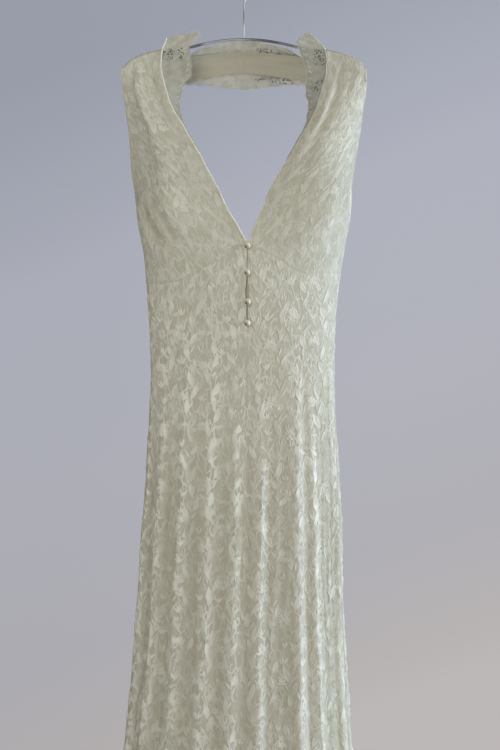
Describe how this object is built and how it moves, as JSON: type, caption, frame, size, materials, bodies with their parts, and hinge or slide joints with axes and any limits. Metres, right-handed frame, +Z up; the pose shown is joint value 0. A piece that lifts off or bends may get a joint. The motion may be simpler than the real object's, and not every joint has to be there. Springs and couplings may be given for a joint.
{
  "type": "lace halter gown on a hanger",
  "caption": "Floor-length halter gown in lined lace with a deep V neck, low back, cup seams, pearl buttons at the centre front and lace edgings, hung on a curved steel hanger.",
  "frame": {"origin": "inside top of the hanger's hook, where a rail holds it", "axes": "+Z up, -Y out of the gown's front, +X to the right as the gown is seen from the front"},
  "size_m": [0.4986, 0.384, 1.6006],
  "materials": {
    "lined_lace": "ivory corded lace over a satin lining",
    "sheer_lace": "ivory unlined lace with a scalloped edge",
    "pearl": "pearl lustre",
    "steel": "polished steel wire and rod"
  },
  "bodies": {
    "root": {"bodice_left": "lined_lace", "bodice_right": "lined_lace", "front_left": "lined_lace", "front_right": "lined_lace", "back_left": "lined_lace", "back_right": "lined_lace", "neck_band_left": "lined_lace", "neck_band_right": "lined_lace", "neck_lace_left": "sheer_lace", "neck_lace_right": "sheer_lace", "band_lace_low": "sheer_lace", "band_lace_top": "sheer_lace", "pearl_button_1": "pearl", "pearl_button_2": "pearl", "pearl_button_3": "pearl", "pearl_button_4": "pearl", "hanger_rod": "steel", "hanger_hook": "steel"}
  },
  "joints": []
}
